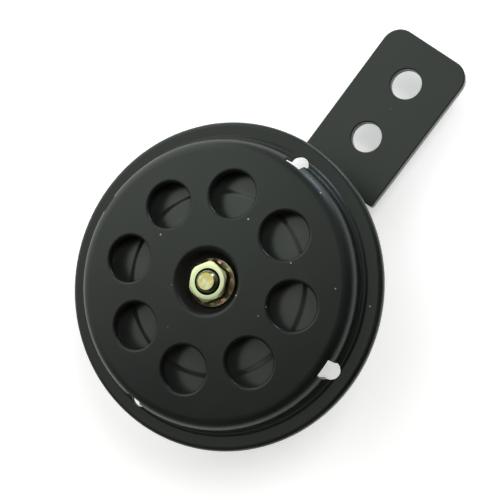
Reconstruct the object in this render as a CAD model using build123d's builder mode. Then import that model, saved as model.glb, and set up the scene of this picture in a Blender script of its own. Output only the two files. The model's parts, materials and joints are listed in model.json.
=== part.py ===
"""Small electric disc horn for a vehicle, with its mounting bracket.

The horn hangs from a flat bracket as it does on the vehicle: its axis is level, the perforated
resonator disc faces forwards (-Y) and the bracket runs upwards (+Z).  The origin is midway between
the bracket's two bolt holes, on the face that bears on the vehicle.  All lengths are millimetres.

Depths along the horn are given as heights h, measured forwards from the front face of the disc's
brim.  Places across the horn are given as (x, up) from the horn's axis.
"""

import os
from math import pi, radians, sqrt, tan

from build123d import *

# ---------------------------------------------------------------- bracket and its bolts
bracket_width = 28.0
bracket_tongue_width = 17.0          # narrower tongue behind the housing
bracket_shoulder_inset = 4.1         # disc's edge to where the tongue begins
bracket_shoulder_r = 0.8
bracket_thickness = 3.0
bracket_hole_d = 9.0
bracket_hole_spacing = 19.0
bracket_hole_to_disc = 11.6          # nearer bolt hole's centre to the disc's edge
bracket_end_margin = 13.0            # outer bolt hole to the bracket's end
bracket_corner_r = 5.5
bracket_edge_r = 0.4
bracket_depth = 27.7                 # brim's front face to the bracket's near face

# ---------------------------------------------------------------- resonator disc
sheet_thickness = 1.0                # pressed steel of the disc
disc_d = 90.0
brim_width = 6.0                     # disc's edge to the top of the dome's wall
wall_flare = 0.3                     # how far the wall leans out towards its foot
crown_height = 9.75                  # height of the crowned front, on the axis
crown_r = 260.0
shoulder_r = 4.0
foot_r = 0.9
step_width = 1.1                     # narrow ledge between the wall's foot and the brim
step_height = 0.5
step_r = 0.3
brim_lip_depth = 2.0                 # depth of the brim's turned-back edge
brim_edge_r = 1.4
brim_inner_r = 0.35
well_rim_d = 17.4
well_floor_d = 15.4
well_depth = 5.0
well_rim_r = 1.2
well_back_r = 0.3
well_foot_r = 0.8
sound_hole_count = 8
sound_hole_d = 12.7
sound_hole_to_wall = 15.05           # sound hole's centre to the dome's wall
sound_hole_turn = 22.2               # first hole's angle from the horizontal
sound_hole_edge_r = 0.75
rim_match = 0.02                     # share by which a hole's rim may differ from its circle
collar_wall = 0.9                    # rolled collar behind each sound hole
collar_depth = 0.9
foot_hole_count = 4
foot_hole_d = 5.2
foot_hole_inset = 0.5                # foot hole's centre inside the top of the wall
foot_hole_turn = 2.2
foot_hole_reach = 6.3                # how far up the wall a foot hole cuts

# ---------------------------------------------------------------- threads and fits
stud_d = 6.0                         # M6 stud through disc and diaphragm
core_thread_d = 8.0                  # M8 shank of the pole core
screw_d = 5.0                        # M5 adjusting screw
thread_fit = 0.05                    # radial clearance drawn in place of a thread
slip_fit = 0.1                       # radial clearance of a plain hole round a shank
tip_chamfer = 0.75

# ---------------------------------------------------------------- nuts and washers
flange_nut_af = 10.0
flange_nut_height = 4.2
flange_nut_flange_d = 13.4
flange_nut_flange_edge = 1.0
flange_nut_flange_slope = 0.7
flange_nut_turn = -1.6               # angle of the first corner
flange_nut_mouth_depth = 0.3         # countersink of the nut's thread
flange_nut_bevel = 0.25              # bevel's reach inside the flats
nut_bevel_angle = 30.0
stud_proud_height = 1.2              # stud tip above the flange nut
m8_nut_af = 13.0
core_nut_height = 5.0
bracket_nut_height = 6.5
shank_proud_height = 1.8             # shank tip behind the bracket nut
spring_washer_d = 14.8
spring_washer_height = 2.0
spring_washer_gap = 1.2
spring_washer_turn = 20.0
spacer_washer_d = 13.0
backing_washer_d = 15.0
backing_washer_thickness = 1.0

# ---------------------------------------------------------------- diaphragm and its clamp
diaphragm_thickness = 0.4
gasket_thickness = 0.5
clamp_ring_thickness = 1.6
clamp_ring_inset = 0.2               # clamp ring's opening inside the crimped lip's
rim_gap = 0.1                        # clamped discs to the inside of the crimped rim
disc_to_rim = 0.9                    # crimped lip to the underside of the disc, at its edge
diaphragm_step = 0.4                 # how far the diaphragm's centre is pressed forwards
diaphragm_step_inset = 6.6           # clamp ring's opening to the step
diaphragm_step_width = 0.45

# ---------------------------------------------------------------- housing cup
cup_wall = 1.0
cup_corner_r = 3.0
rim_to_wall = 2.6                    # crimped rim to the inside of the dome's wall
rim_overhang = 4.4                   # crimped rim outside the cup's wall
rim_wall = 0.9
rim_lip_width = 3.4
rim_lip_r = 0.3

# ---------------------------------------------------------------- electromagnet
armature_overhang = 2.0              # armature outside the pole core
air_gap = 0.8
core_height = 14.7
bobbin_fit = 0.2
bobbin_wall = 1.0
core_share = 0.5                     # pole core's diameter against the bobbin's flange
bobbin_to_bush = 0.1
bobbin_to_core_top = 1.5             # bobbin's front flange below the core's face
winding_inset = 1.1                  # winding below the edge of its flanges
winding_crown = 0.5

# ---------------------------------------------------------------- contact set
contact_width = 6.0
insulator_width = 9.0
stack_length = 8.0
stack_to_post = 0.6                  # stack's outer end inside the post's outer face
leaf_thickness = 0.3
leaf_below_core = 0.7                # leaf's face below the core's face
leaf_beyond_pusher = 0.9             # leaf's free end beyond the pusher's centre
arm_thickness = 1.0
arm_beyond_contact = 2.2             # arm's free end beyond the contact's centre
lower_insulator_thickness = 1.0
middle_insulator_thickness = 1.5
upper_insulator_thickness = 0.8
clamp_plate_thickness = 0.8
contact_d = 3.0
contact_to_stack = 5.4               # contact's centre to the stack's inner end
pusher_d = 1.6
pusher_gap = 0.1
stack_rivet_d = 1.8
stack_rivet_head_d = 3.2
stack_rivet_head = 0.7
stack_rivet_inset = 2.0              # stack's inner end to the first rivet
stack_rivet_spacing = 3.4
stack_rivet_hole_d = 2.9
post_sheet = 1.5
post_width = 10.0
post_to_wall = 1.4                   # post's outer face to the cup's wall
shelf_length = 12.4
post_foot = 5.0

# ---------------------------------------------------------------- adjusting screw
adjuster_to_stack = 1.8              # screw's axis to the stack's inner end
bush_d = 6.6
bush_flange_d = 8.2
bush_flange = 0.8
bush_length = 4.0
lock_nut_af = 8.0
lock_nut_height = 2.7
screw_head_d = 8.0
screw_head = 3.0
screw_head_edge_r = 0.75
screw_slot_width = 1.2
screw_slot_depth = 1.4
screw_slot_overrun = 0.8             # cutter beyond the head on each side
screw_slot_turn = 35.0
screw_point_d = 3.4                  # plain point that bears on the shelf
screw_point_length = 3.0

# ---------------------------------------------------------------- terminals
terminal_spacing = 16.0
terminal_to_wall = 10.0              # rivets' line to the outside of the cup's wall
block_width = 28.0
block_height = 10.5
block_thickness = 2.5
block_corner_r = 1.5
inner_plate_margin = 1.0
inner_plate_thickness = 1.0
blade_width = 6.3
blade_thickness = 0.8
blade_length = 11.0
blade_chamfer = 1.2
blade_hole_d = 1.8
blade_hole_to_tip = 3.6
foot_width = 8.0
foot_overhang = 3.6                  # terminal foot beyond its rivet
rivet_d = 3.0
rivet_bore_d = 1.6
rivet_head_d = 5.4
rivet_head = 0.7
rivet_hole_d = 5.0                   # clear hole in the cup, bushed by the block
block_boss = 0.5

# ---------------------------------------------------------------- worked-out sizes across the horn
# Each size follows from its neighbour further out: disc, dome, rim, cup, post, stack, adjusting
# screw, bobbin and pole core.
dome_d = disc_d - 2 * brim_width
sound_hole_circle_r = dome_d / 2 - sound_hole_to_wall
foot_hole_circle_r = dome_d / 2 - foot_hole_inset
rim_d = dome_d - 2 * (sheet_thickness + rim_to_wall)
cup_d = rim_d - 2 * rim_overhang
clamp_opening_d = rim_d - 2 * (rim_lip_width + clamp_ring_inset)
diaphragm_step_outer_d = clamp_opening_d - 2 * diaphragm_step_inset
diaphragm_step_inner_d = diaphragm_step_outer_d - 2 * diaphragm_step_width
post_outer = cup_d / 2 - cup_wall - post_to_wall
shelf_tip = post_outer - shelf_length
stack_inner = post_outer - stack_to_post - stack_length
adjuster_place = stack_inner - adjuster_to_stack
bobbin_flange_d = 2 * (adjuster_place - bush_flange_d / 2 - bobbin_to_bush)
winding_d = bobbin_flange_d - 2 * winding_inset
core_d = core_share * bobbin_flange_d
armature_d = core_d + 2 * armature_overhang
pusher_place = (armature_d - pusher_d) / 2
leaf_tip = pusher_place - leaf_beyond_pusher
contact_place = stack_inner - contact_to_stack
arm_tip = contact_place - arm_beyond_contact
terminal_place = terminal_to_wall - cup_d / 2
bracket_hole_to_axis = disc_d / 2 + bracket_hole_to_disc
bracket_shoulder_up = disc_d / 2 - bracket_shoulder_inset

# ---------------------------------------------------------------- worked-out heights
def crown(r):
    """Height of the disc's crowned front at radius r."""
    return crown_height - crown_r + sqrt(crown_r**2 - r**2)


floor_h = crown(well_rim_d / 2) - well_depth
rim_front_h = crown(rim_d / 2) - sheet_thickness - disc_to_rim
clamp_front_h = rim_front_h - rim_wall
front_gasket_h = clamp_front_h - clamp_ring_thickness - gasket_thickness
diaphragm_h = front_gasket_h - diaphragm_thickness
rear_gasket_h = diaphragm_h - gasket_thickness
rim_back_h = rear_gasket_h - cup_wall
diaphragm_centre_h = diaphragm_h + diaphragm_step
spacer_h = diaphragm_centre_h + diaphragm_thickness
spacer_thickness = floor_h - sheet_thickness - spacer_h
armature_front_h = diaphragm_centre_h - backing_washer_thickness
stud_tip_h = floor_h + flange_nut_height + stud_proud_height

bracket_front_h = -bracket_depth
bracket_back_h = bracket_front_h - bracket_thickness
cup_back_h = bracket_front_h + core_nut_height
cup_floor_h = cup_back_h + cup_wall
core_top_h = cup_floor_h + core_height
armature_back_h = core_top_h + air_gap
bobbin_front_h = core_top_h - bobbin_to_core_top
bracket_nut_h = bracket_back_h - spring_washer_height - bracket_nut_height
shank_tip_h = bracket_nut_h - shank_proud_height

pusher_front_h = armature_back_h - pusher_gap
leaf_front_h = core_top_h - leaf_below_core
leaf_back_h = leaf_front_h - leaf_thickness
arm_back_h = leaf_front_h + middle_insulator_thickness
contact_height = (arm_back_h - leaf_front_h) / 2
arm_front_h = arm_back_h + arm_thickness
clamp_plate_h = arm_front_h + upper_insulator_thickness
stack_front_h = clamp_plate_h + clamp_plate_thickness
shelf_front_h = leaf_back_h - lower_insulator_thickness
shelf_back_h = shelf_front_h - post_sheet
block_back_h = cup_back_h - block_thickness
terminal_back_h = block_back_h - blade_thickness

# ---------------------------------------------------------------- planes and the horn's axis
axis_z = -(bracket_hole_to_axis + bracket_hole_spacing / 2)
brim_y = bracket_back_h              # the bracket's back face is the plane Y = 0
horn_axis = Axis((0, brim_y, axis_z), (0, -1, 0))
section_plane = Plane(origin=(0, brim_y, axis_z), x_dir=(1, 0, 0), z_dir=(0, 0, -1))


def level(h, x=0.0, up=0.0):
    """Plane facing forwards at height h, with x to the right and y upwards, centred on (x, up)."""
    return Plane(origin=(x, brim_y - h, axis_z + up), x_dir=(1, 0, 0), z_dir=(0, -1, 0))


def nearest(vertices, r, h):
    """The sketch corner that lies nearest to (r, h)."""
    return min(vertices, key=lambda v: (v.X - r) ** 2 + (v.Y - h) ** 2)


def round_corners(sketch, *corners):
    """Fillet the sketch corners given as (r, h, radius), one after the other."""
    for r, h, radius in corners:
        fillet(nearest(sketch.vertices(), r, h), radius)


def ring(h, height, outer_d, inner_d):
    """Flat ring round the horn's axis whose back face is at h."""
    with BuildPart() as piece:
        with BuildSketch(level(h)):
            Circle(outer_d / 2)
            Circle(inner_d / 2, mode=Mode.SUBTRACT)
        extrude(amount=height)
    return piece


def nut(h, height, flats, thread_d, x=0.0, up=0.0):
    """Plain hexagon nut, chamfered at both ends, whose back face is at h."""
    corner_r = flats / sqrt(3)
    chamfer_drop = (corner_r - flats / 2) * tan(radians(nut_bevel_angle))
    with BuildPart() as piece:
        with BuildSketch(level(h, x, up)):
            RegularPolygon(flats / 2, 6, major_radius=False)
            Circle(thread_d / 2 + thread_fit, mode=Mode.SUBTRACT)
        extrude(amount=height)
        with BuildSketch(Plane(origin=(x, brim_y, axis_z + up), x_dir=(1, 0, 0), z_dir=(0, 0, -1))):
            with BuildLine():
                Polyline(
                    (0, h),
                    (flats / 2, h),
                    (corner_r, h + chamfer_drop),
                    (corner_r, h + height - chamfer_drop),
                    (flats / 2, h + height),
                    (0, h + height),
                    close=True,
                )
            make_face()
        revolve(axis=Axis((x, brim_y, axis_z + up), (0, -1, 0)), mode=Mode.INTERSECT)
    return piece


def finish(piece, name):
    """Label a finished piece and write its STEP file."""
    piece.part.label = name
    export_step(piece.part, f"parts/{name}.step")


os.makedirs("parts", exist_ok=True)

# ================================================================ the vibrating group
# Resonator disc: one pressing with a nut well, a crowned front, a steep wall, a ledge and a brim.
dome_r = dome_d / 2
wall_foot_r = dome_r + wall_flare
ledge_r = wall_foot_r + step_width
brim_r = disc_d / 2
well_rim_radius = well_rim_d / 2
well_floor_radius = well_floor_d / 2
stud_hole_r = stud_d / 2 + slip_fit
crown_middle_r = (well_rim_radius + dome_r) / 2
dome_inner_r = dome_r - sheet_thickness
well_back_radius = well_rim_radius + sheet_thickness
well_floor_back_radius = well_floor_radius + sheet_thickness

with BuildPart() as resonator_disc:
    with BuildSketch(section_plane) as disc_section:
        with BuildLine():
            Polyline(
                (stud_hole_r, floor_h - sheet_thickness),
                (stud_hole_r, floor_h),
                (well_floor_radius, floor_h),
                (well_rim_radius, crown(well_rim_radius)),
            )
            ThreePointArc(
                (well_rim_radius, crown(well_rim_radius)),
                (crown_middle_r, crown(crown_middle_r)),
                (dome_r, crown(dome_r)),
            )
            Polyline(
                (dome_r, crown(dome_r)),
                (wall_foot_r, step_height),
                (ledge_r, step_height),
                (ledge_r + step_height, 0),
                (brim_r, 0),
                (brim_r, -brim_lip_depth),
                (brim_r - sheet_thickness, -brim_lip_depth),
                (brim_r - sheet_thickness, -sheet_thickness),
                (ledge_r, -sheet_thickness),
                (ledge_r - step_height, step_height - sheet_thickness),
                (wall_foot_r - sheet_thickness, step_height - sheet_thickness),
                (dome_inner_r, crown(dome_inner_r) - sheet_thickness),
            )
            ThreePointArc(
                (dome_inner_r, crown(dome_inner_r) - sheet_thickness),
                (crown_middle_r, crown(crown_middle_r) - sheet_thickness),
                (well_back_radius, crown(well_back_radius) - sheet_thickness),
            )
            Polyline(
                (well_back_radius, crown(well_back_radius) - sheet_thickness),
                (well_floor_back_radius, floor_h - sheet_thickness),
                (stud_hole_r, floor_h - sheet_thickness),
            )
        make_face()
        round_corners(
            disc_section,
            (well_floor_radius, floor_h, well_foot_r),
            (well_floor_back_radius, floor_h - sheet_thickness, well_foot_r + sheet_thickness),
            (well_rim_radius, crown(well_rim_radius), well_rim_r),
            (well_back_radius, crown(well_back_radius) - sheet_thickness, well_back_r),
            (dome_r, crown(dome_r), shoulder_r),
            (dome_inner_r, crown(dome_inner_r) - sheet_thickness, shoulder_r - sheet_thickness),
            (wall_foot_r, step_height, foot_r),
            (ledge_r, step_height, step_r),
            (ledge_r + step_height, 0, step_r),
            (brim_r, 0, brim_edge_r),
            (brim_r - sheet_thickness, -sheet_thickness, brim_inner_r),
        )
    revolve(axis=horn_axis)
    # A collar is rolled backwards round each sound hole; it follows the crown.
    with BuildPart(mode=Mode.PRIVATE) as collars:
        with BuildSketch(section_plane):
            with BuildLine():
                collar_in_r = well_rim_radius + sheet_thickness
                collar_out_r = dome_r - shoulder_r
                ThreePointArc(
                    (collar_in_r, crown(collar_in_r) - sheet_thickness / 2),
                    (crown_middle_r, crown(crown_middle_r) - sheet_thickness / 2),
                    (collar_out_r, crown(collar_out_r) - sheet_thickness / 2),
                )
                Line(
                    (collar_out_r, crown(collar_out_r) - sheet_thickness / 2),
                    (collar_out_r, crown(collar_out_r) - sheet_thickness - collar_depth),
                )
                ThreePointArc(
                    (collar_out_r, crown(collar_out_r) - sheet_thickness - collar_depth),
                    (crown_middle_r, crown(crown_middle_r) - sheet_thickness - collar_depth),
                    (collar_in_r, crown(collar_in_r) - sheet_thickness - collar_depth),
                )
                Line(
                    (collar_in_r, crown(collar_in_r) - sheet_thickness - collar_depth),
                    (collar_in_r, crown(collar_in_r) - sheet_thickness / 2),
                )
            make_face()
        revolve(axis=horn_axis)
        with BuildSketch(level(0)):
            with PolarLocations(sound_hole_circle_r, sound_hole_count, start_angle=sound_hole_turn):
                Circle(sound_hole_d / 2 + collar_wall)
        extrude(amount=crown_height, mode=Mode.INTERSECT)
    add(collars.part)
    with BuildSketch(level(0)):
        with PolarLocations(sound_hole_circle_r, sound_hole_count, start_angle=sound_hole_turn):
            Circle(sound_hole_d / 2)
    extrude(amount=crown_height, mode=Mode.SUBTRACT)
    hole_rims = [
        edge
        for edge in resonator_disc.edges()
        if abs(edge.length - pi * sound_hole_d) < rim_match * sound_hole_d
    ]
    front_rims = sorted(hole_rims, key=lambda edge: edge.center().Y)[:sound_hole_count]
    fillet(front_rims, sound_hole_edge_r)
    with BuildSketch(level(-brim_lip_depth)):
        with PolarLocations(foot_hole_circle_r, foot_hole_count, start_angle=foot_hole_turn):
            Circle(foot_hole_d / 2)
    extrude(amount=brim_lip_depth + foot_hole_reach, mode=Mode.SUBTRACT)
finish(resonator_disc, "resonator_disc")

# Flange nut in the well: hexagon on a coned flange, its mouth countersunk.
flange_r = flange_nut_flange_d / 2
nut_corner_r = flange_nut_af / sqrt(3)
nut_bevel_r = flange_nut_af / 2 - flange_nut_bevel
nut_chamfer_drop = (nut_corner_r - nut_bevel_r) * tan(radians(nut_bevel_angle))
nut_front_h = floor_h + flange_nut_height
flange_top_h = floor_h + flange_nut_flange_edge
with BuildPart() as flange_nut:
    with BuildSketch(level(floor_h)):
        RegularPolygon(flange_nut_af / 2, 6, major_radius=False, rotation=flange_nut_turn)
    extrude(amount=flange_nut_height)
    with BuildSketch(section_plane):
        with BuildLine():
            Polyline(
                (0, floor_h),
                (nut_corner_r, floor_h),
                (nut_corner_r, nut_front_h - nut_chamfer_drop),
                (nut_bevel_r, nut_front_h),
                (0, nut_front_h),
                close=True,
            )
        make_face()
    revolve(axis=horn_axis, mode=Mode.INTERSECT)
    with BuildSketch(section_plane):
        with BuildLine():
            Polyline(
                (0, floor_h),
                (flange_r, floor_h),
                (flange_r, flange_top_h),
                (flange_nut_af / 2, flange_top_h + flange_nut_flange_slope),
                (0, flange_top_h + flange_nut_flange_slope),
                close=True,
            )
        make_face()
    revolve(axis=horn_axis)
    with BuildSketch(section_plane):
        with BuildLine():
            Polyline(
                (0, floor_h),
                (stud_d / 2 + thread_fit, floor_h),
                (stud_d / 2 + thread_fit, nut_front_h - flange_nut_mouth_depth),
                (stud_d / 2 + thread_fit + flange_nut_mouth_depth, nut_front_h),
                (0, nut_front_h),
                close=True,
            )
        make_face()
    revolve(axis=horn_axis, mode=Mode.SUBTRACT)
finish(flange_nut, "flange_nut")

# Centre stud: screwed into the armature, it carries washers, diaphragm and disc.
stud_r = stud_d / 2
with BuildPart() as centre_stud:
    with BuildSketch(section_plane):
        with BuildLine():
            Polyline(
                (0, armature_back_h),
                (stud_r, armature_back_h),
                (stud_r, stud_tip_h - tip_chamfer),
                (stud_r - tip_chamfer, stud_tip_h),
                (0, stud_tip_h),
                close=True,
            )
        make_face()
    revolve(axis=horn_axis)
finish(centre_stud, "centre_stud")

spacer_washer = ring(spacer_h, spacer_thickness, spacer_washer_d, stud_d + 2 * slip_fit)
finish(spacer_washer, "spacer_washer")

backing_washer = ring(
    armature_front_h, backing_washer_thickness, backing_washer_d, stud_d + 2 * slip_fit
)
finish(backing_washer, "backing_washer")

armature = ring(
    armature_back_h, armature_front_h - armature_back_h, armature_d, stud_d + 2 * thread_fit
)
finish(armature, "armature")

# ================================================================ diaphragm and its clamp
clamped_d = rim_d - 2 * rim_wall - 2 * rim_gap
step_out = diaphragm_step_outer_d / 2
step_in = diaphragm_step_inner_d / 2
centre_front_h = diaphragm_centre_h + diaphragm_thickness
rim_disc_front_h = diaphragm_h + diaphragm_thickness
with BuildPart() as diaphragm:
    with BuildSketch(section_plane):
        with BuildLine():
            Polyline(
                (stud_hole_r, diaphragm_centre_h),
                (step_in, diaphragm_centre_h),
                (step_out, diaphragm_h),
                (clamped_d / 2, diaphragm_h),
                (clamped_d / 2, rim_disc_front_h),
                (step_out, rim_disc_front_h),
                (step_in, centre_front_h),
                (stud_hole_r, centre_front_h),
                close=True,
            )
        make_face()
    revolve(axis=horn_axis)
finish(diaphragm, "diaphragm")

front_gasket = ring(front_gasket_h, gasket_thickness, clamped_d, clamp_opening_d)
finish(front_gasket, "front_gasket")
rear_gasket = ring(rear_gasket_h, gasket_thickness, clamped_d, cup_d - 2 * cup_wall)
finish(rear_gasket, "rear_gasket")
clamp_ring = ring(
    clamp_front_h - clamp_ring_thickness, clamp_ring_thickness, clamped_d, clamp_opening_d
)
finish(clamp_ring, "clamp_ring")

# Housing cup: drawn steel, its rim folded forwards and crimped over the clamp ring.
cup_r = cup_d / 2
rim_r = rim_d / 2
rim_seat_h = rear_gasket_h
terminal_rivets = [(-terminal_spacing / 2, terminal_place), (terminal_spacing / 2, terminal_place)]
with BuildPart() as housing_cup:
    with BuildSketch(section_plane) as cup_section:
        with BuildLine():
            Polyline(
                (core_thread_d / 2 + slip_fit, cup_back_h),
                (cup_r, cup_back_h),
                (cup_r, rim_back_h),
                (rim_r, rim_back_h),
                (rim_r, rim_front_h),
                (rim_r - rim_lip_width, rim_front_h),
                (rim_r - rim_lip_width, clamp_front_h),
                (rim_r - rim_wall, clamp_front_h),
                (rim_r - rim_wall, rim_seat_h),
                (cup_r - cup_wall, rim_seat_h),
                (cup_r - cup_wall, cup_floor_h),
                (core_thread_d / 2 + slip_fit, cup_floor_h),
                close=True,
            )
        make_face()
        round_corners(
            cup_section,
            (cup_r, cup_back_h, cup_corner_r),
            (cup_r - cup_wall, cup_floor_h, cup_corner_r - cup_wall),
            (cup_r, rim_back_h, cup_wall / 2),
            (rim_r, rim_back_h, rim_wall),
            (rim_r, rim_front_h, rim_wall),
            (rim_r - rim_lip_width, rim_front_h, rim_lip_r),
        )
    revolve(axis=horn_axis)
    with BuildSketch(level(cup_back_h)):
        with Locations(*terminal_rivets):
            Circle(rivet_hole_d / 2)
        with Locations((adjuster_place, 0)):
            Circle(bush_d / 2)
    extrude(amount=cup_wall, mode=Mode.SUBTRACT)
finish(housing_cup, "housing_cup")

# ================================================================ electromagnet
core_r = core_d / 2
shank_r = core_thread_d / 2
with BuildPart() as pole_core:
    with BuildSketch(section_plane):
        with BuildLine():
            Polyline(
                (0, core_top_h),
                (core_r, core_top_h),
                (core_r, cup_floor_h),
                (shank_r, cup_floor_h),
                (shank_r, shank_tip_h + tip_chamfer),
                (shank_r - tip_chamfer, shank_tip_h),
                (0, shank_tip_h),
                close=True,
            )
        make_face()
    revolve(axis=horn_axis)
finish(pole_core, "pole_core")

bobbin_r = core_r + bobbin_fit
drum_r = bobbin_r + bobbin_wall
bobbin_flange_r = bobbin_flange_d / 2
with BuildPart() as coil_bobbin:
    with BuildSketch(section_plane):
        with BuildLine():
            Polyline(
                (bobbin_r, cup_floor_h),
                (bobbin_flange_r, cup_floor_h),
                (bobbin_flange_r, cup_floor_h + bobbin_wall),
                (drum_r, cup_floor_h + bobbin_wall),
                (drum_r, bobbin_front_h - bobbin_wall),
                (bobbin_flange_r, bobbin_front_h - bobbin_wall),
                (bobbin_flange_r, bobbin_front_h),
                (bobbin_r, bobbin_front_h),
                close=True,
            )
        make_face()
    revolve(axis=horn_axis)
finish(coil_bobbin, "coil_bobbin")

winding_back_h = cup_floor_h + bobbin_wall
winding_front_h = bobbin_front_h - bobbin_wall
winding_r = winding_d / 2
with BuildPart() as coil_winding:
    with BuildSketch(section_plane):
        with BuildLine():
            Polyline(
                (winding_r - winding_crown, winding_back_h),
                (drum_r, winding_back_h),
                (drum_r, winding_front_h),
                (winding_r - winding_crown, winding_front_h),
            )
            ThreePointArc(
                (winding_r - winding_crown, winding_front_h),
                (winding_r, (winding_back_h + winding_front_h) / 2),
                (winding_r - winding_crown, winding_back_h),
            )
        make_face()
    revolve(axis=horn_axis)
finish(coil_winding, "coil_winding")

# ================================================================ contact set
first_rivet = stack_inner + stack_rivet_inset
stack_rivets = [(first_rivet, 0), (first_rivet + stack_rivet_spacing, 0)]


def stack_plate(h, thickness, inner_end, width, hole_d):
    """Flat strip of the contact stack, from its inner end to the stack's outer end, drilled."""
    with BuildPart() as piece:
        with BuildSketch(level(h)):
            with Locations((inner_end, 0)):
                Rectangle(
                    stack_inner + stack_length - inner_end, width, align=(Align.MIN, Align.CENTER)
                )
            with Locations(*stack_rivets):
                Circle(hole_d / 2, mode=Mode.SUBTRACT)
        extrude(amount=thickness)
    return piece


# Post: sheet folded into a foot on the cup's floor, an upright and a shelf under the stack.
with BuildPart() as contact_post:
    with BuildSketch(section_plane) as post_section:
        with BuildLine():
            Polyline(
                (post_outer, cup_floor_h),
                (post_outer, shelf_front_h),
                (shelf_tip, shelf_front_h),
                (shelf_tip, shelf_back_h),
                (post_outer - post_sheet, shelf_back_h),
                (post_outer - post_sheet, cup_floor_h + post_sheet),
                (post_outer - post_foot, cup_floor_h + post_sheet),
                (post_outer - post_foot, cup_floor_h),
                close=True,
            )
        make_face()
        round_corners(
            post_section,
            (post_outer, cup_floor_h, cup_corner_r - cup_wall),
            (post_outer, shelf_front_h, post_sheet),
        )
    extrude(amount=post_width / 2, both=True)
    with BuildSketch(level(shelf_back_h)):
        with Locations(*stack_rivets):
            Circle(stack_rivet_d / 2 + thread_fit)
    extrude(amount=post_sheet, mode=Mode.SUBTRACT)
finish(contact_post, "contact_post")

snug_hole_d = stack_rivet_d + 2 * thread_fit
lower_insulator = stack_plate(
    shelf_front_h, lower_insulator_thickness, stack_inner, insulator_width, snug_hole_d
)
finish(lower_insulator, "lower_insulator")
moving_contact_leaf = stack_plate(
    leaf_back_h, leaf_thickness, leaf_tip, contact_width, stack_rivet_hole_d
)
finish(moving_contact_leaf, "moving_contact_leaf")
middle_insulator = stack_plate(
    leaf_front_h, middle_insulator_thickness, stack_inner, insulator_width, snug_hole_d
)
finish(middle_insulator, "middle_insulator")
fixed_contact_arm = stack_plate(
    arm_back_h, arm_thickness, arm_tip, contact_width, stack_rivet_hole_d
)
finish(fixed_contact_arm, "fixed_contact_arm")
upper_insulator = stack_plate(
    arm_front_h, upper_insulator_thickness, stack_inner, insulator_width, snug_hole_d
)
finish(upper_insulator, "upper_insulator")
stack_clamp_plate = stack_plate(
    clamp_plate_h, clamp_plate_thickness, stack_inner, contact_width, snug_hole_d
)
finish(stack_clamp_plate, "stack_clamp_plate")

with BuildPart() as stack_rivet_pair:
    with BuildSketch(level(shelf_back_h - stack_rivet_head)):
        with Locations(*stack_rivets):
            Circle(stack_rivet_head_d / 2)
    extrude(amount=stack_rivet_head)
    with BuildSketch(level(shelf_back_h)):
        with Locations(*stack_rivets):
            Circle(stack_rivet_d / 2)
    extrude(amount=stack_front_h - shelf_back_h)
    with BuildSketch(level(stack_front_h)):
        with Locations(*stack_rivets):
            Circle(stack_rivet_head_d / 2)
    extrude(amount=stack_rivet_head)
finish(stack_rivet_pair, "stack_rivets")

with BuildPart() as moving_contact:
    with BuildSketch(level(leaf_front_h, contact_place)):
        Circle(contact_d / 2)
    extrude(amount=contact_height)
finish(moving_contact, "moving_contact")
with BuildPart() as fixed_contact:
    with BuildSketch(level(leaf_front_h + contact_height, contact_place)):
        Circle(contact_d / 2)
    extrude(amount=contact_height)
finish(fixed_contact, "fixed_contact")
with BuildPart() as contact_pusher:
    with BuildSketch(level(leaf_front_h, pusher_place)):
        Circle(pusher_d / 2)
    extrude(amount=pusher_front_h - leaf_front_h)
finish(contact_pusher, "contact_pusher")

# ================================================================ adjusting screw
with BuildPart() as adjuster_bush:
    with BuildSketch(level(cup_back_h, adjuster_place)):
        Circle(bush_d / 2)
        Circle(screw_d / 2 + thread_fit, mode=Mode.SUBTRACT)
    extrude(amount=bush_length)
    with BuildSketch(level(cup_floor_h, adjuster_place)):
        Circle(bush_flange_d / 2)
        Circle(bush_d / 2, mode=Mode.SUBTRACT)
    extrude(amount=bush_flange)
finish(adjuster_bush, "adjuster_bush")

lock_nut = nut(cup_back_h - lock_nut_height, lock_nut_height, lock_nut_af, screw_d, adjuster_place)
finish(lock_nut, "adjuster_lock_nut")

screw_head_h = cup_back_h - lock_nut_height - screw_head
with BuildPart() as adjusting_screw:
    with BuildSketch(level(screw_head_h, adjuster_place)):
        Circle(screw_head_d / 2)
    extrude(amount=screw_head)
    back_rim = adjusting_screw.edges().sort_by(Axis.Y)[-1]
    fillet(back_rim, screw_head_edge_r)
    with BuildSketch(level(screw_head_h + screw_head, adjuster_place)):
        Circle(screw_d / 2)
    extrude(amount=shelf_back_h - screw_point_length - screw_head_h - screw_head)
    with BuildSketch(level(shelf_back_h - screw_point_length, adjuster_place)):
        Circle(screw_point_d / 2)
    extrude(amount=screw_point_length)
    with BuildSketch(level(screw_head_h, adjuster_place)):
        Rectangle(
            screw_head_d + 2 * screw_slot_overrun, screw_slot_width, rotation=screw_slot_turn
        )
    extrude(amount=screw_slot_depth, mode=Mode.SUBTRACT)
finish(adjusting_screw, "adjusting_screw")

# ================================================================ terminals
with BuildPart() as terminal_block:
    with BuildSketch(level(block_back_h, 0, terminal_place)):
        RectangleRounded(block_width, block_height, block_corner_r)
    extrude(amount=block_thickness)
    with BuildSketch(level(cup_back_h)):
        with Locations(*terminal_rivets):
            Circle(rivet_hole_d / 2 - slip_fit)
    extrude(amount=cup_wall)
    with BuildSketch(level(block_back_h)):
        with Locations(*terminal_rivets):
            Circle(rivet_d / 2 + thread_fit)
    extrude(amount=block_thickness + cup_wall, mode=Mode.SUBTRACT)
finish(terminal_block, "terminal_block")

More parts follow.
